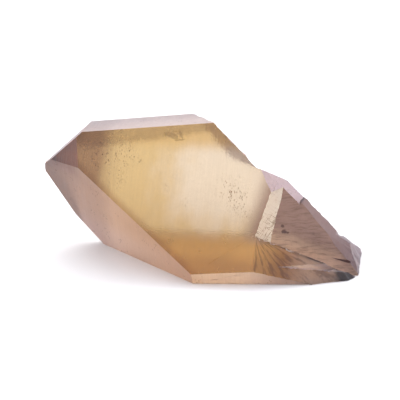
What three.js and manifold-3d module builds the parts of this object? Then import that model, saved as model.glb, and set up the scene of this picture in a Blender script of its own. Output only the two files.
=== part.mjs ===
// A single quartz crystal of the citrine colour, lying on one of its prism faces.
// The point is at -X and the broken end at +X; the front is -Y; up is +Z; sizes are in mm.
import * as THREE from 'three';
import { ConvexGeometry } from 'three/addons/geometries/ConvexGeometry.js';
import { mergeVertices } from 'three/addons/utils/BufferGeometryUtils.js';
import Module from 'manifold-3d';

const wasm = await Module();
wasm.setup();

// ---- driving dimensions -----------------------------------------------------------------

// Each growth face lies `reach` mm from the reference corner, where the large front face of
// the point, the lower front prism face and the resting face meet. `turn` is the direction it
// faces round the long axis, in degrees from straight up towards the front. `lean` is the
// angle in degrees between its normal and the axis that points out of the tip: 90 is a prism
// face without taper, about 52 a true face of the point, and less than that a worn one.
const growthFaces = [
  { name: 'prism top', turn: -5.5, lean: 84.6, reach: 26.0 },
  { name: 'prism upper front', turn: 48.0, lean: 91.1, reach: 1.73 },
  { name: 'prism lower front', turn: 116.4, lean: 95.8, reach: -0.54 },
  { name: 'prism rest', turn: 180, lean: 90, reach: 0 },
  { name: 'prism lower back', turn: -122, lean: 90, reach: 17.8 },
  { name: 'prism upper back', turn: -76, lean: 82, reach: 34.18 },
  { name: 'point top', turn: -6.2, lean: 46.5, reach: 33.3 },
  { name: 'point upper front', turn: 56.9, lean: 46.6, reach: 14.9 },
  { name: 'point lower front', turn: 121.5, lean: 50.3, reach: -0.38 },
  { name: 'point underside', turn: 177.2, lean: 49.6, reach: 11.9 },
  { name: 'point lower back', turn: -125, lean: 51.9, reach: 27.7 },
  { name: 'point upper back', turn: -64, lean: 50, reach: 43.2 },
  { name: 'worn tip', turn: 90, lean: 8, reach: 27.3 },
];

// Each break lies `reach` mm from the same corner. `heading` is the compass direction of its
// normal in degrees from +X towards +Y, `pitch` the rise of the normal above level, and
// `relief` the height in mm of the waves that the break left in it.
const breaks = {
  end: { heading: 3, pitch: 24, reach: 27.0, relief: 0.18 },
  heel: { heading: -28.5, pitch: 44, reach: 15.3, relief: 0.06 },
  shoulder: { heading: 33.7, pitch: 30.2, reach: 22.75, relief: 0.34 },
  slope: { heading: 30.6, pitch: 39.4, reach: 26.05, relief: 0.08 },
  ledge: { heading: 56.4, pitch: 58.1, reach: 24.36, relief: 0.12 },
  bevel: { heading: -34.4, pitch: 47.3, reach: 13.6, relief: 0.05 },
  bevelEnd: { heading: -20, pitch: 10, reach: 14.2, relief: 0.05 },
  scarFloor: { heading: -72.3, pitch: 32, reach: 0.23, relief: 0.16 },
  scarStep: { heading: -34, pitch: 13.5, reach: 7.7, relief: 0.06 },
  scarSill: { heading: 72.5, pitch: 46.4, reach: 11.25, relief: 0.06 },
  lobe: { heading: -63.6, pitch: 39.1, reach: 5.21, relief: 0.1 },
  knobTop: { heading: 27.5, pitch: 52, reach: 22.1, relief: 0.06 },
  knobStep: { heading: 0, pitch: 12, reach: 25.3, relief: 0.05 },
};

// Splits that run in from the broken end: each starts as a point, and widens to `mouth` mm
// where it leaves the crystal.
const splits = [
  { start: [19.7, 7.25, 5.45], end: [28.0, 9.2, 2.9], mouth: 1.2, depth: 2.6, side: 'lobe' },
  { start: [15.0, 2.75, 3.1], end: [28.6, 8.2, 1.75], mouth: 2.5, depth: 1.6, side: 'lobe' },
];

// Grid of a broken surface, in mm: its pitch, half its width, and the block behind it.
const cell = 0.9;
const halfWidth = 36;
const blockDepth = 45;

// The grids are slid along their breaks until their middles lie over this point.
const overEnd = [18, 10, 10];

// How far past the end break the crystal is grown before it is broken off, in mm.
const spareLength = 12;

// The cuts on the two sides of the sill, and of the knob's step, overlap by this much, in mm,
// to leave no film there.
const overlap = 0.15;

// Corners closer than this, in mm, are drawn together when the cuts are done.
const slack = 0.05;

// A split's sliver stands this far out of the surface, and starts this far under it, in mm.
const splitProud = 3;
const splitSunk = 0.05;

// Planes whose normals nearly lie in one plane share no corner. `hair` is a length in mm that
// makes no difference to the shape.
const nearlyFlat = 1e-4;
const hair = 1e-5;

// ---- directions -------------------------------------------------------------------------

const radians = THREE.MathUtils.degToRad;

function growthNormal({ turn, lean }) {
  const side = Math.sin(radians(lean));
  return new THREE.Vector3(
    -Math.cos(radians(lean)),
    -side * Math.sin(radians(turn)),
    side * Math.cos(radians(turn)),
  );
}

function breakNormal({ heading, pitch }) {
  const level = Math.cos(radians(pitch));
  return new THREE.Vector3(
    level * Math.cos(radians(heading)),
    level * Math.sin(radians(heading)),
    Math.sin(radians(pitch)),
  );
}

// ---- solids -----------------------------------------------------------------------------

function toSolid(geometry) {
  const bare = geometry.clone();
  bare.deleteAttribute('normal');
  bare.deleteAttribute('uv');
  const merged = mergeVertices(bare, hair);
  return new wasm.Manifold(new wasm.Mesh({
    numProp: 3,
    vertProperties: new Float32Array(merged.attributes.position.array),
    triVerts: new Uint32Array(merged.index.array),
  }));
}

function toGeometry(solid) {
  const { vertProperties, triVerts } = solid.getMesh();
  const geometry = new THREE.BufferGeometry();
  geometry.setAttribute('position', new THREE.BufferAttribute(vertProperties, 3));
  geometry.setIndex(new THREE.BufferAttribute(triVerts, 1));
  return geometry;
}

// The point where three planes meet, or null where two of them are nearly parallel.
function meetingPoint(a, b, c) {
  const matrix = new THREE.Matrix3().set(
    a.normal.x, a.normal.y, a.normal.z,
    b.normal.x, b.normal.y, b.normal.z,
    c.normal.x, c.normal.y, c.normal.z,
  );
  if (Math.abs(matrix.determinant()) < nearlyFlat) return null;
  return new THREE.Vector3(a.reach, b.reach, c.reach).applyMatrix3(matrix.invert());
}

// The convex body that all the growth faces close in. A far plane stands in for the broken
// end, which the breaks cut back afterwards.
function grownBody() {
  const planes = growthFaces.map((face) => ({ normal: growthNormal(face), reach: face.reach }));
  planes.push({ normal: new THREE.Vector3(1, 0, 0), reach: breaks.end.reach + spareLength });
  const corners = [];
  planes.forEach((a, i) => {
    planes.slice(i + 1).forEach((b, j) => {
      planes.slice(i + j + 2).forEach((c) => {
        const corner = meetingPoint(a, b, c);
        const inside = (plane) => plane.normal.dot(corner) < plane.reach + hair;
        if (corner && planes.every(inside)) corners.push(corner);
      });
    });
  });
  return toSolid(new ConvexGeometry(corners));
}

// Rolling waves crossed by a finer ripple, between -1 and 1: the skin of a conchoidal break.
function ripple(u, v, seed) {
  const bend = 0.6 * Math.sin(0.31 * v + seed);
  const rolls = 0.55 * Math.sin(0.52 * u + bend + 1.7 * seed) * Math.cos(0.37 * v - seed);
  const ribs = 0.3 * Math.sin(1.35 * v + 0.5 * Math.sin(0.8 * u + seed));
  const grit = 0.15 * Math.sin(2.9 * u + 2.1 * v + 3 * seed);
  return rolls + ribs + grit;
}

// A block that fills the outer side of a break, with the rippled break as its inner face.
function blockBeyond(name) {
  const { relief, reach } = breaks[name];
  const normal = breakNormal(breaks[name]);
  const seed = name.length + relief * 10;
  const steps = Math.round((2 * halfWidth) / cell);
  const box = new THREE.BoxGeometry(2 * halfWidth, 2 * halfWidth, blockDepth, steps, steps, 1);
  const position = box.attributes.position;
  for (let i = 0; i < position.count; i += 1) {
    const wave = relief * ripple(position.getX(i), position.getY(i), seed);
    const inner = position.getZ(i) < 0;
    position.setZ(i, inner ? wave : blockDepth);
  }
  const up = new THREE.Vector3(0, 0, 1);
  box.applyQuaternion(new THREE.Quaternion().setFromUnitVectors(up, normal));
  const centre = new THREE.Vector3(...overEnd).projectOnPlane(normal);
  centre.addScaledVector(normal, reach);
  box.translate(centre.x, centre.y, centre.z);
  return toSolid(box);
}

// A sliver with a triangular section that grows from a point to its full mouth.
function splitSolid({ start, end, mouth, depth, side }) {
  const out = breakNormal(breaks[side]);
  const from = new THREE.Vector3(...start);
  const to = new THREE.Vector3(...end);
  const across = new THREE.Vector3().crossVectors(out, to.clone().sub(from)).normalize();
  const corners = [
    from.clone().addScaledVector(out, -splitSunk),
    from.clone().addScaledVector(out, splitProud),
    to.clone().addScaledVector(out, -depth),
  ];
  [-mouth / 2, mouth / 2].forEach((sideways) => {
    const lip = to.clone().addScaledVector(across, sideways);
    corners.push(lip, lip.clone().addScaledVector(out, splitProud));
  });
  return toSolid(new ConvexGeometry(corners));
}

// The cuts can leave loose crumbs beside the crystal, which are dropped.
function largestPiece(solid) {
  return solid.decompose().reduce((best, piece) => (piece.volume() > best.volume() ? piece : best));
}

// ---- the crystal ------------------------------------------------------------------------

function brokenCrystal() {
  const block = Object.fromEntries(Object.keys(breaks).map((name) => [name, blockBeyond(name)]));
  const cuts = [
    block.end,
    block.heel,
    block.slope.subtract(block.knobStep.translate(overlap, 0, 0)),
    block.bevel.subtract(block.bevelEnd),
    block.shoulder.intersect(block.ledge),
    block.knobTop.intersect(block.knobStep),
    block.scarFloor.intersect(block.scarStep).intersect(block.scarSill),
    block.lobe.subtract(block.scarSill.translate(0, 0, overlap)),
    ...splits.map(splitSolid),
  ];
  const lost = cuts.reduce((joined, cut) => joined.add(cut));
  return largestPiece(grownBody().subtract(lost)).simplify(slack);
}

// The origin is the middle of the outline at the level of the resting face.
function centred(geometry) {
  geometry.computeBoundingBox();
  const { min, max } = geometry.boundingBox;
  return geometry.translate(-(min.x + max.x) / 2, -(min.y + max.y) / 2, -min.z);
}

const citrine = new THREE.MeshStandardMaterial({
  color: 0xd4b072,
  roughness: 0.12,
  metalness: 0,
  transparent: true,
  opacity: 0.8,
});

const crystal = new THREE.Mesh(centred(toGeometry(brokenCrystal())), citrine);
crystal.name = 'crystal';

const part = new THREE.Group();
part.add(crystal);

export default part;
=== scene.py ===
"""A citrine crystal point, lying on one of its prism faces on a pale floor."""

import math

import bmesh
import bpy
from mathutils import Matrix, Vector, noise


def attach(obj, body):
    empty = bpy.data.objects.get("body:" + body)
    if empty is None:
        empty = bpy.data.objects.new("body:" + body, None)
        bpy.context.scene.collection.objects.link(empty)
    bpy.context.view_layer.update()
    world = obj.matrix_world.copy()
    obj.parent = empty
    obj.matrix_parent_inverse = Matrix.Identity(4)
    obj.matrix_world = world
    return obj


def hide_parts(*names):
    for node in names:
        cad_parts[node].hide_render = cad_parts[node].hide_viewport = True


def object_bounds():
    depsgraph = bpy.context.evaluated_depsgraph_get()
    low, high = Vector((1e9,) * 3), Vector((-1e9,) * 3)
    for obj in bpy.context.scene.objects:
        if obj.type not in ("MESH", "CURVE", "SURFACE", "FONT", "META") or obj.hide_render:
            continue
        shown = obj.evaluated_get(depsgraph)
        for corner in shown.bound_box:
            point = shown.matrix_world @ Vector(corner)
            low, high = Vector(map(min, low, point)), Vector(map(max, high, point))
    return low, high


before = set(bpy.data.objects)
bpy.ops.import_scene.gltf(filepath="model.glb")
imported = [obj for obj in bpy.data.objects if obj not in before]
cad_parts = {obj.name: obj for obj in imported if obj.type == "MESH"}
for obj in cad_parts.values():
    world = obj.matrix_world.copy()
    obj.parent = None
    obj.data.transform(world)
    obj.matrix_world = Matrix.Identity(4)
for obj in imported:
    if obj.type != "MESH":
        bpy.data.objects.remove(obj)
CAD_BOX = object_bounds()
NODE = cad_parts["crystal"]
MM = 0.001


# ---- the surfaces of the crystal -------------------------------------------------------------

# Growth faces: the turn of the normal about the long axis, from straight up towards the front,
# and its lean from the axis that leaves the tip, in degrees.
GROWTH = {
    "top": (-5.5, 84.6),
    "front": (48, 91.1),
    "skirt": (116.4, 95.8),
    "rest": (180, 90),
    "backlow": (-122, 90),
    "backhigh": (-76, 82),
    "tiptop": (-6.2, 46.5),
    "tipfront": (56.9, 46.6),
    "tiplow": (121.5, 50.3),
    "tipunder": (177.2, 49.6),
    "tipback": (-125, 51.9),
    "tipbackhigh": (-64, 50),
}
# Broken surfaces: the compass heading of the normal from +X towards +Y, and its pitch above
# level, in degrees. The floor and the step are those of the scar on the front.
BREAKS = {
    "end": (3, 24),
    "heel": (-28.5, 44),
    "shoulder": (33.7, 30.2),
    "slope": (30.6, 39.4),
    "ledge": (56.4, 58.1),
    "bevel": (-34.4, 47.3),
    "knob": (27.5, 52),
    "floor": (-72.3, 32),
    "step": (-34, 13.5),
}
# Broken ground below the scar: the lobe under its sill, the upper split, painted dark for the
# shadow in it, and the pale lower one. The worn tip and the thin steep faces between breaks
# match no normal above, and count as the nearer split.
BELOW_SCAR = ("lobe", "gap", "wedge")

# Heading and pitch of the sill that parts the scar from the lobe, the point that the lobe's
# cracks fan out from, and the start and end of each split. Places are in mm from the origin.
SILL = (72.5, 46.4)
FAN = Vector((11.7, -10.4, 7.9))
UPPER_SPLIT = (Vector((20.6, -8.2, 5.4)), Vector((28.9, -6.2, 2.9)))
LOWER_SPLIT = (Vector((15.9, -12.7, 3.1)), Vector((29.5, -7.2, 1.7)))
# The streaks of the breaks run this way.
LENGTHWISE = Vector((0.99, 0.14, 0))

WHITE = (1.0, 1.0, 1.0, 1)
ROSY = (0.92, 0.80, 0.80, 1)
PINK = (0.86, 0.68, 0.71, 1)
REDDISH_SHADE = (0.40, 0.14, 0.07, 1)
PALE = (0.50, 0.41, 0.44, 1)
HAZE = (0.72, 0.62, 0.76, 1)
LAVENDER = (0.61, 0.55, 0.88, 1)
MAUVE = (0.16, 0.085, 0.085, 1)
TAWNY = (0.42, 0.30, 0.24, 1)
GREY = (0.20, 0.13, 0.18, 1)
DARK = (0.03, 0.015, 0.02, 1)

# For each surface: how matt it is, as a shader roughness, its tint, and how far the gold of
# the body colour shows on it. "edge" is the worn edges between growth faces.
LOOKS = {
    "edge": (0.3, WHITE, 1.0),
    "top": (0.42, PALE, 0.0),
    "front": (0.2, WHITE, 1.0),
    "skirt": (0.5, ROSY, 0.3),
    "rest": (0.45, WHITE, 0.0),
    "backlow": (0.5, WHITE, 0.0),
    "backhigh": (0.5, WHITE, 0.0),
    "tiptop": (0.4, PINK, 0.0),
    # The tip's front face: a reddish tint with painted shade.
    "tipfront": (0.38, REDDISH_SHADE, 0.85),
    "tiplow": (0.5, PINK, 0.65),
    "tipunder": (0.4, WHITE, 0.0),
    "tipback": (0.36, WHITE, 0.0),
    "tipbackhigh": (0.36, WHITE, 0.0),
    "end": (0.4, GREY, 0.0),
    "heel": (0.45, GREY, 0.0),
    "shoulder": (0.5, HAZE, 0.0),
    "slope": (0.5, HAZE, 0.0),
    "ledge": (0.35, LAVENDER, 0.0),
    "bevel": (0.3, LAVENDER, 0.0),
    "knob": (0.4, GREY, 0.0),
    "floor": (0.42, MAUVE, 0.0),
    "step": (0.85, WHITE, 0.0),
    "lobe": (0.4, TAWNY, 1.0),
    # The shaded gap's dark tint is painted shadow.
    "gap": (0.5, DARK, 0.0),
    "wedge": (0.5, ROSY, 0.0),
}
REGIONS = list(LOOKS)
BROKEN = {*BREAKS, *BELOW_SCAR}


def growth_normal(turn, lean):
    turn, lean = math.radians(turn), math.radians(lean)
    side = math.sin(lean)
    return Vector((-math.cos(lean), -side * math.sin(turn), side * math.cos(turn)))


def break_normal(heading, pitch):
    heading, pitch = math.radians(heading), math.radians(pitch)
    level = math.cos(pitch)
    return Vector((level * math.cos(heading), level * math.sin(heading), math.sin(pitch)))


GROWTH_NORMALS = {name: growth_normal(*angles) for name, angles in GROWTH.items()}
BREAK_NORMALS = {name: break_normal(*angles) for name, angles in BREAKS.items()}
SILL_NORMAL = break_normal(*SILL)
FRONT = GROWTH_NORMALS["front"]


def laid_flat(direction, normal):
    """The direction, turned into the plane that the normal stands on."""
    return (direction - normal * normal.dot(direction)).normalized()


# ---- the crystal's mesh, worked on in millimetres --------------------------------------------

# A face belongs to a growth face or a break when its normal is this near, and to a growth
# face only when it is also larger than this, in square mm.
SAME_FACE = math.radians(1.5)
SAME_BREAK = math.radians(24)
SMALL_FACE = 1.0

# Points nearer than WELD mm are joined, and faces within FLAT of one plane become one.
WELD = 0.002
FLAT = math.radians(0.4)

# Width in mm and roundness of the worn edges.
WEAR = 0.2
WEAR_PROFILE = 0.6

# Edges of the breaks are halved while they are longer than NET mm, this many times at most.
NET = 0.42
HALVINGS = 3
CREASE = math.radians(32)

# Heights of the fine relief of the breaks, in mm.
RIB_HEIGHT = 0.16
RIB_GRAIN_HEIGHT = 0.06
STREAK_HEIGHT = 0.14
STREAK_GRAIN_HEIGHT = 0.07
LIP_HEIGHT = 0.45
CUT_HEIGHT = 0.09
CUT_GRAIN_HEIGHT = 0.04
SWELL_HEIGHT = 0.16
CREST_HEIGHT = 0.10
ROUGH_GRAIN_HEIGHT = 0.05
CALM_HEIGHT = 0.07
CALM_GRAIN_HEIGHT = 0.03
RIM_HEIGHT = 0.16
RIM_SINK = 0.04
RIM_SEED = Vector((11, 0, 0))

# These breaks are rougher than the others.
ROUGH_BREAKS = ("shoulder", "end", "heel", "knob")

# Ribs of the lobe: how closely they stand round the fan point, how they change outwards,
# their share of the height, and a seed. They reach full height FAN_START mm out.
RIBS = ((6.0, 0.1, 1.0, 3.3), (14.0, 0.2, 0.5, 7.1))
FAN_START = 3.0
# Square of the distance from the sill, in mm, over which its raised lip dies away.
LIP_SPREAD = 0.2


def closest(normals, normal):
    name = max(normals, key=lambda n: normals[n].dot(normal))
    return name, math.acos(min(1.0, normals[name].dot(normal)))


def off_line(point, start, end):
    """How far the point is from the stretch between start and end."""
    reach = end - start
    share = max(0.0, min(1.0, (point - start).dot(reach) / reach.length_squared))
    return (point - start - reach * share).length


def region_of(face):
    """The name of the surface that a face of the CAD mesh belongs to."""
    name, angle = closest(GROWTH_NORMALS, face.normal)
    if angle < SAME_FACE and face.calc_area() > SMALL_FACE:
        return name
    middle = face.calc_center_median()
    name, angle = closest(BREAK_NORMALS, face.normal)
    if angle > SAME_BREAK:
        in_upper = off_line(middle, *UPPER_SPLIT) < off_line(middle, *LOWER_SPLIT)
        return "gap" if in_upper else "wedge"
    if name == "floor" and (middle - FAN).dot(SILL_NORMAL) < 0:
        return "lobe"
    return name


def wave(point, along, across, stretch, scale, seed):
    """Noise that is drawn out `stretch` times along one direction."""
    a, b = point.dot(along), point.dot(across)
    return noise.noise(Vector((a * scale / stretch, b * scale, seed)))


def ridged(value):
    return 1.0 - 2.0 * abs(value)


def fan_relief(point, along, across):
    away = point - FAN
    flat = Vector((away.dot(along), away.dot(across)))
    angle = math.atan2(flat.y, flat.x)
    ribs = 0.0
    for closeness, drift, share, seed in RIBS:
        place = Vector((angle * closeness, flat.length * drift, seed))
        ribs += share * ridged(noise.noise(place))
    grown = min(1.0, flat.length / FAN_START)
    grain = wave(point, along, across, stretch=2.0, scale=3.0, seed=5.2)
    return RIB_HEIGHT * grown * ribs + RIB_GRAIN_HEIGHT * grain


def floor_relief(point, along, across):
    streak = ridged(wave(point, along, across, stretch=7.0, scale=1.2, seed=1.3))
    grain = wave(point, along, across, stretch=4.0, scale=3.4, seed=5.2)
    lip = math.exp(-((point - FAN).dot(SILL_NORMAL) ** 2) / LIP_SPREAD)
    jag = abs(noise.noise(point * 1.1))
    return STREAK_HEIGHT * streak + STREAK_GRAIN_HEIGHT * grain + LIP_HEIGHT * lip * jag


def step_relief(point, normal):
    down = Vector((0, 0, 1)).cross(normal)
    tilt = (normal.cross(down) + down * 0.5).normalized()
    cuts = ridged(wave(point, normal.cross(tilt), tilt, stretch=4.0, scale=1.5, seed=8.8))
    grain = wave(point, down, tilt, stretch=1.0, scale=2.6, seed=2.2)
    return CUT_HEIGHT * cuts + CUT_GRAIN_HEIGHT * grain


def rough_relief(point, along, across):
    swell = wave(point, along, across, stretch=1.6, scale=0.55, seed=4.0)
    crest = ridged(wave(point, along, across, stretch=2.5, scale=1.1, seed=6.0))
    grain = wave(point, along, across, stretch=1.0, scale=2.6, seed=9.0)
    return SWELL_HEIGHT * swell + CREST_HEIGHT * crest + ROUGH_GRAIN_HEIGHT * grain


def calm_relief(point, along, across):
    swell = wave(point, along, across, stretch=2.0, scale=0.9, seed=2.0)
    grain = wave(point, along, across, stretch=1.0, scale=2.4, seed=3.0)
    return CALM_HEIGHT * swell + CALM_GRAIN_HEIGHT * grain


def break_relief(point, name):
    """Height in mm of the fine relief of a broken surface, above the CAD surface."""
    normal = BREAK_NORMALS.get(name, BREAK_NORMALS["floor"])
    along = laid_flat(LENGTHWISE, normal)
    across = normal.cross(along)
    if name in BELOW_SCAR:
        return fan_relief(point, along, across)
    if name == "floor":
        return floor_relief(point, along, across)
    if name == "step":
        return step_relief(point, normal)
    if name in ROUGH_BREAKS:
        return rough_relief(point, along, across)
    return calm_relief(point, along, across)


def commonest(names):
    """The name that comes most often, or the one of them that is first in REGIONS."""
    return max(sorted(set(names), key=REGIONS.index), key=names.count)


def roughen_breaks(bm, region):
    """Adds the fine relief; on the rim, growth faces keep flat and only their outline moves."""
    moves = {}
    for vert in bm.verts:
        names = [REGIONS[face[region]] for face in vert.link_faces]
        broken = [name for name in names if name in BROKEN]
        flats = {name for name in names if name in GROWTH}
        corner = len(flats) > 1 or (flats and "edge" in names)
        if not broken or corner:
            continue
        normal = Vector()
        for face in vert.link_faces:
            if REGIONS[face[region]] in BROKEN:
                normal += face.normal * face.calc_area()
        normal.normalize()
        if flats:
            flat = GROWTH_NORMALS[flats.pop()]
            jag = noise.noise(vert.co * 1.9 + RIM_SEED)
            move = normal * (RIM_HEIGHT * jag - RIM_SINK)
            move -= flat * move.dot(flat)
        else:
            move = normal * break_relief(vert.co, commonest(broken))
        moves[vert] = move
    for vert, move in moves.items():
        vert.co += move


def wear_edges(bm, region):
    """Rounds the edges between growth faces a little."""
    worn = []
    for edge in bm.edges:
        sides = [REGIONS[face[region]] for face in edge.link_faces]
        if len(sides) == 2 and sides[0] != sides[1] and not BROKEN.intersection(sides):
            worn.append(edge)
    made = bmesh.ops.bevel(
        bm,
        geom=worn,
        offset=WEAR,
        offset_type="OFFSET",
        segments=2,
        profile=WEAR_PROFILE,
        affect="EDGES",
        clamp_overlap=True,
        material=-1,
    )
    for face in made["faces"]:
        face[region] = REGIONS.index("edge")


def triangulate_breaks(bm, region):
    ragged = [f for f in bm.faces if REGIONS[f[region]] in BROKEN and len(f.verts) > 3]
    bmesh.ops.triangulate(bm, faces=ragged)


def refine_breaks(bm, region):
    """Gives the broken surfaces a net that is fine enough for their relief."""
    for _ in range(HALVINGS):
        triangulate_breaks(bm, region)
        long = [
            edge
            for edge in bm.edges
            if edge.calc_length() > NET
            and any(REGIONS[face[region]] in BROKEN for face in edge.link_faces)
        ]
        bmesh.ops.subdivide_edges(bm, edges=long, cuts=1)
    triangulate_breaks(bm, region)
    bm.normal_update()


def shade_faces(bm, region):
    """Growth faces are flat shaded; the rest is smooth between its creases."""
    for face in bm.faces:
        face.smooth = REGIONS[face[region]] not in GROWTH
    for edge in bm.edges:
        bends = edge.calc_face_angle(0.0) > CREASE
        edge.smooth = not bends and all(face.smooth for face in edge.link_faces)


def store_looks(mesh, names):
    """Stores what the material needs to know about each face's surface."""
    tint = mesh.attributes.new("tint", "FLOAT_COLOR", "FACE")
    tint.data.foreach_set("color", [value for name in names for value in LOOKS[name][1]])
    numbers = {
        "frost": {name: look[0] for name, look in LOOKS.items()},
        "golden": {name: look[2] for name, look in LOOKS.items()},
        "etch": dict.fromkeys(GROWTH, 1.0),
        "scar": {"floor": 1.0},
        "fan": {"lobe": 1.0},
        "step": {"step": 1.0},
        "skirt": {"skirt": 1.0},
    }
    for key, values in numbers.items():
        stored = mesh.attributes.new(key, "FLOAT", "FACE")
        stored.data.foreach_set("value", [values.get(name, 0.0) for name in names])


def crystal_mesh():
    bm = bmesh.new()
    bm.from_mesh(NODE.data)
    bm.transform(Matrix.Scale(1 / MM, 4))
    bmesh.ops.remove_doubles(bm, verts=bm.verts, dist=WELD)
    bmesh.ops.dissolve_limit(bm, angle_limit=FLAT, verts=bm.verts, edges=bm.edges)
    bm.normal_update()
    region = bm.faces.layers.int.new("region")
    for face in bm.faces:
        face[region] = REGIONS.index(region_of(face))
    wear_edges(bm, region)
    refine_breaks(bm, region)
    roughen_breaks(bm, region)
    shade_faces(bm, region)

    names = [REGIONS[face[region]] for face in bm.faces]
    bm.transform(Matrix.Scale(MM, 4))
    mesh = bpy.data.meshes.new("citrine_point")
    bm.to_mesh(mesh)
    bm.free()
    mesh.attributes.remove(mesh.attributes["region"])
    store_looks(mesh, names)
    return mesh


# ---- shader nodes ----------------------------------------------------------------------------


class Nodes:
    """Short names for the shader nodes that the materials use."""

    def __init__(self, name):
        self.material = bpy.data.materials.new(name)
        self.material.use_nodes = True
        self.tree = self.material.node_tree
        self.tree.nodes.clear()
        self.out = self.tree.nodes.new("ShaderNodeOutputMaterial")

    def add(self, kind, inputs=(), **settings):
        node = self.tree.nodes.new("ShaderNode" + kind)
        for key, value in settings.items():
            setattr(node, key, value)
        for key, value in dict(inputs).items():
            self.put(node.inputs[key], value)
        return node

    def put(self, socket, value):
        if isinstance(value, bpy.types.NodeSocket):
            self.tree.links.new(value, socket)
        else:
            socket.default_value = value

    def maths(self, operation, a, b=0.0):
        return self.add("Math", {0: a, 1: b}, operation=operation).outputs[0]

    def plus(self, a, b):
        return self.maths("ADD", a, b)

    def minus(self, a, b):
        return self.maths("SUBTRACT", a, b)

    def times(self, value, *factors):
        for factor in factors:
            value = self.maths("MULTIPLY", value, factor)
        return value

    def fade(self, value, start, end, low=0.0, high=1.0):
        """`low` at start, `high` at end, smooth between them."""
        inputs = {0: value, 1: start, 2: end, 3: low, 4: high}
        node = self.add("MapRange", inputs, interpolation_type="SMOOTHSTEP")
        return node.outputs[0]

    def mix(self, factor, a, b, blend="MIX"):
        node = self.add("Mix", data_type="RGBA", blend_type=blend)
        for socket, value in zip((0, 6, 7), (factor, a, b)):
            self.put(node.inputs[socket], value)
        return node.outputs[2]

    def darken(self, factor, colour, by):
        return self.mix(factor, colour, by, "MULTIPLY")

    def place(self):
        """The point on the object, in millimetres."""
        at = self.add("TexCoord").outputs["Object"]
        return self.add("VectorMath", {0: at, "Scale": 1 / MM}, operation="SCALE").outputs[0]

    def split(self, vector):
        return self.add("SeparateXYZ", {0: vector}).outputs

    def join(self, x, y=0.0, z=0.0):
        return self.add("CombineXYZ", {0: x, 1: y, 2: z}).outputs[0]

    def away(self, vector, other):
        inputs = {0: vector, 1: tuple(other)}
        return self.add("VectorMath", inputs, operation="SUBTRACT").outputs[0]

    def length(self, vector):
        return self.add("VectorMath", {0: vector}, operation="LENGTH").outputs["Value"]

    def distance(self, vector, other):
        return self.length(self.away(vector, other))

    def dot(self, vector, other):
        inputs = {0: vector, 1: tuple(other)}
        return self.add("VectorMath", inputs, operation="DOT_PRODUCT").outputs["Value"]

    def stretched(self, vector, factors):
        inputs = {0: vector, 1: tuple(factors)}
        return self.add("VectorMath", inputs, operation="MULTIPLY").outputs[0]

    def cloud(self, vector, scale, detail=2.0, rough=0.5):
        inputs = {"Vector": vector, "Scale": scale, "Detail": detail, "Roughness": rough}
        return self.add("TexNoise", inputs).outputs[0]

    def attribute(self, name, output="Fac"):
        return self.add("Attribute", attribute_name=name).outputs[output]


# ---- the look of the crystal -----------------------------------------------------------------

GOLD = (0.77, 0.57, 0.22, 1)
OCHRE = (0.71, 0.45, 0.12, 1)
AMBER = (0.76, 0.43, 0.09, 1)
UMBER = (0.48, 0.24, 0.05, 1)
BLUSH = (0.26, 0.17, 0.16, 1)
TAN = (0.66, 0.43, 0.33, 1)
CREAM = (1.0, 0.96, 0.86, 1)
ROSE = (1.0, 0.95, 0.93, 1)
SMOKE_AND_SHADE = (0.29, 0.16, 0.14, 1)
STAIN = (0.17, 0.09, 0.05, 1)
SOOT = (0.16, 0.09, 0.075, 1)
BROWN = (0.60, 0.47, 0.38, 1)
DUSK = (0.34, 0.29, 0.33, 1)
SHADE = (0.42, 0.27, 0.25, 1)
RUSTY = (0.02, 0.006, 0.006, 1)

# All places and lengths here are in mm. Each pair says where a change begins and where it is
# complete: _X along the crystal, _Z above the floor, and the others away from what they name.
# Painted light: the gold is paler round the heart.
HEART = (4.0, -3.5, 16.0)
HEART_RADIUS = (9.0, 19.0)
HEART_WANDER = 9.0
# Painted reflection: the gold pales towards the right end.
REFLECTION_X = (8.0, 14.0)
# Painted shade: the gold is deeper along the top and low down.
OCHRE_Z = (19.5, 22.0)
AMBER_Z = (9.0, 6.3)
UMBER_Z = (5.8, 3.4)
FADED_GOLD_Z = (2.5, 8.0)
FADED_LOBE_X = (16.5, 22.0)
CLEAR_LOBE_X = (17.0, 12.0)
# How far out the step and the lower front face of the point lie, along their normals.
STEP_REACH = 16.8
TIPLOW_REACH = 9.19
BEFORE_STEP = (3.0, 0.0)
BEFORE_STEP_Z = (6.0, 9.0)
# Painted shade along the edge by the lower front face of the point.
BESIDE_TIPLOW = (1.8, 0.1)
# Smoky tone and painted shade at the tip end.
SMOKE_AND_SHADE_X = (-13.5, -17.5)
SMOKE_AND_SHADE_WANDER = 3.0
# Painted shade in the upper corner of the tip.
TIP_CORNER_X = (-21.0, -24.0)
TIP_CORNER_Z = (12.5, 17.0)
DUSK_X = (8.0, 17.0)
# A dark spot at the heel, near the floor.
HEEL_DARK_SPOT = (27.8, -8.7, 1.0)
HEEL_DARK_SPOT_RADIUS = (3.0, 1.4)
# On the scar.
NEAR_SILL = (4.6, 0.4)
# Painted shadow in the gap below the sill.
GAP_WIDTH = (0.5, 0.2)
GAP_START_X = (19.5, 21.5)
GAP_END_X = (27.0, 26.0)
# A painted highlight on the sill's lip.
GLINT_WIDTH = (0.26, 0.12)
GLINT_WANDER = 0.35
GLINT_END_X = (20.5, 19.0)
SCAR_PITS = (((16.3, -5.8, 7.5), 0.6), ((15.9, -5.4, 8.4), 0.4), ((17.0, -5.6, 7.2), 0.35))
# On the step: where its cracks get denser, the two ways that they run, and their width, which
# is measured in the noise that makes them.
CRACKED_Z = (13.0, 8.0)
CRACKS = ((1.2, 1.2, 2.6), (2.0, 0.3, -2.4))
CRACK_WIDTH = (0.022, 0.008)
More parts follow.
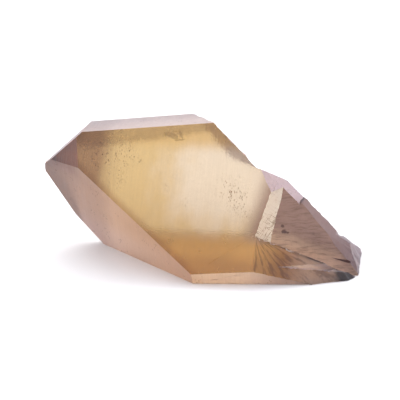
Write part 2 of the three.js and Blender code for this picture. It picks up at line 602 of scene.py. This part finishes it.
# Fields of etch pits on the growth faces: the middle and the radius of each.
PIT_FIELDS = (
    ((-15.0, -0.7, 19.4), 5.0),
    ((-18.7, -1.9, 18.3), 3.0),
    ((-15.3, -4.3, 15.4), 3.0),
    ((5.6, -4.4, 14.7), 3.4),
    ((9.0, -6.2, 12.7), 4.6),
)
PITS_PER_MM = 3.4
# The bump's height, and the shares in it of the growth steps, the grain and the pits.
BUMP = 0.12
STEP_SHARE = 1.2
GRAIN_SHARE = 0.6
PIT_SHARE = 0.8

# These pairs are of numbers between 0 and 1 instead: the middle stretch of a noise, where a
# surface counts as rich in gold, the edge of a pit, the rows of pits, and the stray pits.
NOISE_MIDDLE = (0.3, 0.7)
RICH_GOLD = (0.66, 0.9)
PIT_EDGE = (0.20, 0.42)
PIT_ROWS = (0.38, 0.50)
STRAY_PITS = (0.60, 0.68)


def body_colour(n, at, x, z):
    """Gold, paler in the heart as painted light and towards the right end as a painted
    reflection, deeper along the top and low down as painted shade, with less of it off the front.
    """
    # Painted light in the heart.
    haze = n.times(n.cloud(n.stretched(at, (0.3, 0.12, 0.2)), 1.0, 3.0), HEART_WANDER)
    pale = n.fade(n.plus(n.distance(at, HEART), haze), *HEART_RADIUS, 1.0, 0.0)
    colour = n.mix(pale, GOLD, CREAM)
    # Painted reflection towards the right end.
    colour = n.mix(n.fade(x, *REFLECTION_X), colour, ROSE)
    # Painted shade: deeper gold along the top and low down.
    colour = n.mix(n.fade(z, *OCHRE_Z, 0.0, 0.9), colour, OCHRE)
    rich = n.fade(n.attribute("golden"), *RICH_GOLD)
    colour = n.mix(n.times(n.fade(z, *AMBER_Z), rich), colour, AMBER)
    colour = n.mix(n.times(n.fade(z, *UMBER_Z), rich), colour, UMBER)
    before_step = n.minus(STEP_REACH, n.dot(at, BREAK_NORMALS["step"]))
    before_step = n.times(n.fade(before_step, *BEFORE_STEP), n.fade(z, *BEFORE_STEP_Z), rich)
    colour = n.darken(before_step, colour, BLUSH)
    full = n.maths("MAXIMUM", rich, n.fade(z, *FADED_GOLD_Z, 0.5, 1.0))
    not_far = n.minus(1.0, n.times(n.attribute("fan"), n.fade(x, *FADED_LOBE_X)))
    colour = n.mix(n.times(n.attribute("golden"), full, not_far), ROSE, colour)
    return n.mix(n.attribute("step"), colour, WHITE)


def tinted(n, at, x, z, colour):
    """Smoky tone and painted shade at the tip, painted shade by the point's lower front face
    and in its upper corner, and each surface's own tint.
    """
    colour = n.mix(n.fade(n.distance(at, HEEL_DARK_SPOT), *HEEL_DARK_SPOT_RADIUS), colour, DARK)
    # Smoky tone and painted shade at the tip end.
    wisps = n.times(n.cloud(n.stretched(at, (0.25, 0.12, 0.12)), 1.0, 3.0), SMOKE_AND_SHADE_WANDER)
    smoky_and_shaded = n.times(
        n.fade(n.plus(x, wisps), *SMOKE_AND_SHADE_X), n.fade(n.attribute("golden"), 0.5, 1.0, 0.45, 0.9)
    )
    colour = n.darken(smoky_and_shaded, colour, SMOKE_AND_SHADE)
    # Painted shade along the edge by the lower front face of the point.
    beside = n.minus(TIPLOW_REACH, n.dot(at, GROWTH_NORMALS["tiplow"]))
    beside = n.times(n.fade(beside, *BESIDE_TIPLOW), n.attribute("golden"))
    colour = n.darken(beside, colour, BROWN)
    clear = n.times(n.attribute("fan"), n.fade(x, *CLEAR_LOBE_X, 0.0, 0.85))
    own_tint = n.darken(1.0, colour, n.attribute("tint", "Color"))
    colour = n.mix(clear, own_tint, colour)
    # Painted shade in the upper corner of the tip.
    corner = n.fade(n.minus(n.attribute("etch"), n.attribute("golden")), 0.0, 0.3)
    corner = n.times(corner, n.fade(z, *TIP_CORNER_Z), n.fade(x, *TIP_CORNER_X))
    colour = n.darken(corner, colour, SHADE)
    return n.darken(n.times(n.attribute("skirt"), n.fade(x, *DUSK_X)), colour, DUSK)


def sill_marks(n, at, x, off_sill):
    """Where the painted highlight on the sill's lip is, and the painted shadow in the gap that
    takes its place farther on.
    """
    broken = n.plus(n.attribute("scar"), n.attribute("fan"))
    # Painted shadow in the gap.
    gap = n.times(n.fade(n.maths("ABSOLUTE", off_sill), *GAP_WIDTH), n.fade(x, *GAP_START_X))
    gap = n.times(gap, n.fade(x, *GAP_END_X), broken)
    # A painted highlight on the lip.
    patchy = n.fade(n.cloud(at, 0.8, 2.0), 0.4, 0.55, 0.25, 1.0)
    wander = n.fade(n.cloud(at, 1.2), *NOISE_MIDDLE, -GLINT_WANDER, GLINT_WANDER)
    off_glint = n.maths("ABSOLUTE", n.plus(off_sill, wander))
    lip = n.times(n.fade(off_glint, *GLINT_WIDTH), patchy, n.fade(x, *GLINT_END_X), broken)
    return lip, gap


def scar_streaks(n, at, u, v):
    swerve = n.times(n.cloud(at, 0.25, 1.0), 3.0)
    drawn = n.join(n.times(u, 0.3), n.plus(n.times(v, 2.2), swerve))
    streaks = n.fade(n.cloud(drawn, 1.0, 5.0, 0.7), 0.45, 0.66, 0.0, 0.7)
    return n.times(streaks, n.attribute("scar"))


def fan_cracks(n, u, v, from_fan):
    turn = n.maths("ARCTAN2", v, u)
    spread = n.join(n.times(turn, 9.0), n.times(n.length(from_fan), 0.25))
    rays = n.fade(n.cloud(spread, 1.0, 3.0, 0.6), 0.45, 0.62, 0.0, 0.75)
    return n.times(rays, n.attribute("fan"))


def scar_pit(n, at, place, size):
    wobble = n.minus(n.times(n.cloud(at, 1.5, 2.0), 0.7), 0.4)
    off_pit = n.plus(n.distance(at, place), wobble)
    return n.times(n.fade(off_pit, size, size / 2), n.attribute("scar"))


def step_cracks(n, at, u, z, direction):
    web = n.join(n.dot(at, direction), n.times(u, 0.5))
    off_crack = n.maths("ABSOLUTE", n.minus(n.cloud(web, 0.5, 1.0), 0.5))
    denser_below = n.fade(z, *CRACKED_Z, 0.15, 0.8)
    return n.times(n.fade(off_crack, *CRACK_WIDTH), denser_below, n.attribute("step"))


def broken_marks(n, at, x, z, colour):
    """Marks of the scar, of the fan of cracks under it, and of the step, with a painted highlight
    on the sill's lip and painted shadow in the gap.
    """
    along = laid_flat(LENGTHWISE, BREAK_NORMALS["floor"])
    across = BREAK_NORMALS["floor"].cross(along)
    from_fan = n.away(at, FAN)
    u, v = n.dot(from_fan, along), n.dot(from_fan, across)
    off_sill = n.dot(from_fan, SILL_NORMAL)

    # Near the sill the scar is lighter.
    lighter = n.times(n.fade(off_sill, *NEAR_SILL, 0.0, 0.9), n.attribute("scar"))
    colour = n.mix(lighter, colour, TAN)
    colour = n.darken(scar_streaks(n, at, u, v), colour, SOOT)
    colour = n.darken(fan_cracks(n, u, v, from_fan), colour, SOOT)
    lip, gap = sill_marks(n, at, x, off_sill)
    # A painted highlight on the lip, and painted shadow in the gap.
    colour = n.mix(lip, colour, ROSE)
    colour = n.mix(gap, colour, DARK)
    for place, size in SCAR_PITS:
        colour = n.mix(scar_pit(n, at, place, size), colour, RUSTY)
    for direction in CRACKS:
        colour = n.darken(step_cracks(n, at, u, z, direction), colour, STAIN)
    return colour


def etch_pits(n, at):
    """Etch pits: in the small fields and here and there, in rows across the length."""
    cells = n.add("TexVoronoi", {"Vector": n.stretched(at, (1.0, 0.5, 0.5)), "Scale": PITS_PER_MM})
    spots = n.fade(cells.outputs["Distance"], *PIT_EDGE, 1.0, 0.0)
    rows = n.fade(n.cloud(n.stretched(at, (1.3, 0.1, 0.1)), 1.0, 1.0), *PIT_ROWS)
    where = n.fade(n.cloud(at, 0.5, 1.0), *STRAY_PITS, 0.0, 0.8)
    for place, radius in PIT_FIELDS:
        field = n.fade(n.distance(at, place), 0.3 * radius, radius, 1.0, 0.0)
        where = n.plus(where, field)
    return n.times(where, rows, n.attribute("etch"), spots)


def unevenness(n, at, mottle):
    """Light and dark in the stone, with faint bars across the length, but not on the step."""
    dapple = n.cloud(at, 2.4, 4.0, 0.7)
    bars = n.fade(n.cloud(n.stretched(at, (3.0, 0.12, 0.12)), 1.0, 2.0), 0.35, 0.65, 0.94, 1.0)
    mottled = n.fade(mottle, *NOISE_MIDDLE, 0.95, 1.0)
    dappled = n.fade(dapple, *NOISE_MIDDLE, 0.92, 1.0)
    level = n.maths("MAXIMUM", n.times(mottled, dappled, bars), n.attribute("step"))
    return n.join(level, level, level)


def surface_bump(n, at, pits):
    """Fine steps of growth across the length, pits, and a grain on all surfaces."""
    steps = n.cloud(n.stretched(at, (2.4, 0.16, 0.16)), 1.0, 2.0)
    steps = n.times(steps, n.attribute("etch"), STEP_SHARE)
    grain = n.times(n.cloud(at, 3.5, 3.0, 0.6), GRAIN_SHARE)
    height = n.minus(n.plus(steps, grain), n.times(pits, PIT_SHARE))
    bump = n.add("Bump", {"Height": height, "Strength": 0.5, "Distance": BUMP * MM})
    return bump.outputs[0]


def citrine_material():
    n = Nodes("citrine")
    at = n.place()
    x, _, z = n.split(at)
    mottle = n.cloud(at, 0.9, 4.0, 0.6)
    pits = etch_pits(n, at)

    colour = body_colour(n, at, x, z)
    colour = tinted(n, at, x, z, colour)
    colour = broken_marks(n, at, x, z, colour)
    colour = n.darken(n.times(pits, 0.75), colour, STAIN)
    colour = n.darken(1.0, colour, unevenness(n, at, mottle))
    rough = n.plus(n.attribute("frost"), n.fade(mottle, *NOISE_MIDDLE, -0.05, 0.06))
    rough = n.plus(rough, n.times(pits, 0.3))

    glass = n.add(
        "BsdfPrincipled",
        {
            "Base Color": colour,
            "Roughness": rough,
            "IOR": 1.544,
            "Transmission Weight": 0.85,
            "Sheen Weight": 0.2,
            "Sheen Roughness": 0.5,
            "Sheen Tint": (0.95, 0.82, 0.92, 1),
            "Normal": surface_bump(n, at, pits),
        },
    )
    n.put(n.out.inputs["Surface"], glass.outputs[0])
    body = n.add("VolumeAbsorption", {"Color": (0.825, 0.675, 0.40, 1), "Density": 80})
    n.put(n.out.inputs["Volume"], body.outputs[0])
    return n.material


def flake_material(name, colour, alpha):
    """The skin of an inner crack: it scatters a little light, and lets the rest through."""
    n = Nodes(name)
    mottle = n.fade(n.cloud(n.place(), 1.6, 2.0), *NOISE_MIDDLE, 0.75, 1.0)
    tone = n.darken(1.0, colour, n.join(mottle, mottle, mottle))
    skin = n.add("BsdfPrincipled", {"Base Color": tone, "Roughness": 0.35, "Alpha": alpha})
    n.put(n.out.inputs["Surface"], skin.outputs[0])
    return n.material


def floor_material():
    n = Nodes("floor")
    soft = n.add("BsdfPrincipled", {"Base Color": (0.93, 0.93, 0.93, 1), "Roughness": 0.9})
    n.put(n.out.inputs["Surface"], soft.outputs[0])
    return n.material


# ---- pieces ----------------------------------------------------------------------------------

scene = bpy.context.scene

# Flakes of the inner crack near the top edge, in mm: the place on the front face, the depth
# under it, the direction of the long side, half the length and width, whether the flake is
# bright, and a seed.
FLAKES = {
    "crack_a": ((-5.6, 2.4, 22.6), 1.4, (1, 0, -0.5), (1.5, 0.5), False, 1.0),
    "crack_b": ((-4.0, 1.8, 22.0), 1.1, (1, 0, 0.2), (0.9, 0.22), True, 2.0),
    "crack_c": ((-3.9, 2.6, 22.9), 1.2, (0.3, 0, -1), (1.1, 0.25), False, 3.0),
    "crack_d": ((-4.9, 2.9, 23.1), 0.9, (1, 0, 0.4), (0.9, 0.16), True, 4.0),
    "crack_e": ((-6.9, 2.5, 22.7), 1.3, (0.2, 0, -1), (0.6, 0.18), True, 5.0),
}
# A flake starts as a round sheet of radius 1 with rings inset by these widths. Its outline
# and its surface then wander by up to this much.
FLAKE_RIM_POINTS = 28
FLAKE_RINGS = (0.35, 0.3)
FLAKE_RAGGED = 0.45
FLAKE_CRUMPLE = 0.45
CRUMPLE_SEED = 5.0


def piece(name, mesh, material):
    mesh.materials.append(material)
    made = bpy.data.objects.new(name, mesh)
    scene.collection.objects.link(made)
    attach(made, "root")
    return made


def flake_mesh(name, place, deep, slant, half, seed):
    """A thin crumpled sheet `deep` mm under the front face."""
    long_way = laid_flat(Vector(slant), FRONT)
    wide_way = FRONT.cross(long_way)
    centre = Vector(place) - FRONT * deep
    bm = bmesh.new()
    bmesh.ops.create_circle(bm, cap_ends=False, segments=FLAKE_RIM_POINTS, radius=1.0)
    bmesh.ops.contextual_create(bm, geom=list(bm.verts))
    for ring in FLAKE_RINGS:
        inner = max(bm.faces, key=lambda face: len(face.verts))
        bmesh.ops.inset_individual(bm, faces=[inner], thickness=ring)
    for vert in bm.verts:
        x, y = vert.co.x, vert.co.y
        ragged = 1.0 + FLAKE_RAGGED * noise.noise(Vector((x * 1.6, y * 1.6, seed)))
        lift = FLAKE_CRUMPLE * noise.noise(Vector((x * 1.3, y * 1.3, seed + CRUMPLE_SEED)))
        spot = centre + long_way * (x * half[0] * ragged) + wide_way * (y * half[1] * ragged)
        vert.co = (spot + FRONT * lift) * MM
    bmesh.ops.triangulate(bm, faces=bm.faces[:])
    mesh = bpy.data.meshes.new(name)
    bm.to_mesh(mesh)
    bm.free()
    mesh.shade_smooth()
    return mesh


crystal = piece("citrine_point", crystal_mesh(), citrine_material())
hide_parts("crystal")

bright_skin = flake_material("crack_skin", (1.0, 0.95, 0.85, 1), 0.6)
dark_skin = flake_material("crack_shade", (0.26, 0.15, 0.06, 1), 0.4)
for name, (place, deep, slant, half, bright, seed) in FLAKES.items():
    mesh = flake_mesh(name, place, deep, slant, half, seed)
    piece(name, mesh, bright_skin if bright else dark_skin)

# The floor lies just under the crystal's resting face.
FLOOR_SIZE = 6
FLOOR_DROP = 0.0001
bpy.ops.mesh.primitive_plane_add(size=FLOOR_SIZE, location=(0, 0, -FLOOR_DROP))
ground = bpy.context.object
ground.name = "floor"
ground.data.materials.append(floor_material())


# ---- light and camera ------------------------------------------------------------------------

# A large soft light behind, above and a little to the left: from the middle of the crystal,
# in metres, with its size, and its power in watts.
KEY_PLACE = Vector((-0.2, 0.9, 0.75))
KEY_SIZE = (1.2, 0.8)
KEY_POWER = 10
WORLD_COLOUR = (0.96, 0.95, 1, 1)
WORLD_STRENGTH = 1.16

# The camera's direction from its target, its distance, target and nearest visible depth in
# metres, and its lens and sensor in mm.
AZIMUTH = math.radians(8)
ELEVATION = math.radians(18.7)
DISTANCE = 0.63
TARGET = Vector((0.00153, -0.01047, 0.01444))
CLIP_START = 0.01
LENS = 315
SENSOR = 36


def key_light():
    middle = (CAD_BOX[0] + CAD_BOX[1]) / 2
    light = bpy.data.lights.new("key", "AREA")
    light.shape = "RECTANGLE"
    light.size, light.size_y = KEY_SIZE
    light.energy = KEY_POWER
    lamp = bpy.data.objects.new("key", light)
    lamp.location = middle + KEY_PLACE
    lamp.rotation_euler = (-KEY_PLACE).to_track_quat("-Z", "Y").to_euler()
    scene.collection.objects.link(lamp)


def studio_world():
    world = bpy.data.worlds.new("studio")
    scene.world = world
    world.use_nodes = True
    background = world.node_tree.nodes["Background"]
    background.inputs["Color"].default_value = WORLD_COLOUR
    background.inputs["Strength"].default_value = WORLD_STRENGTH


def add_camera():
    level = math.cos(ELEVATION)
    back = Vector(
        (math.sin(AZIMUTH) * level, -math.cos(AZIMUTH) * level, math.sin(ELEVATION))
    )
    optics = bpy.data.cameras.new("camera")
    optics.sensor_width = SENSOR
    optics.lens = LENS
    optics.clip_start = CLIP_START
    camera = bpy.data.objects.new("camera", optics)
    camera.location = TARGET + back * DISTANCE
    camera.rotation_euler = (-back).to_track_quat("-Z", "Y").to_euler()
    scene.collection.objects.link(camera)
    return camera


key_light()
studio_world()
bpy.context.scene.camera = add_camera()
scene.view_settings.view_transform = "Standard"
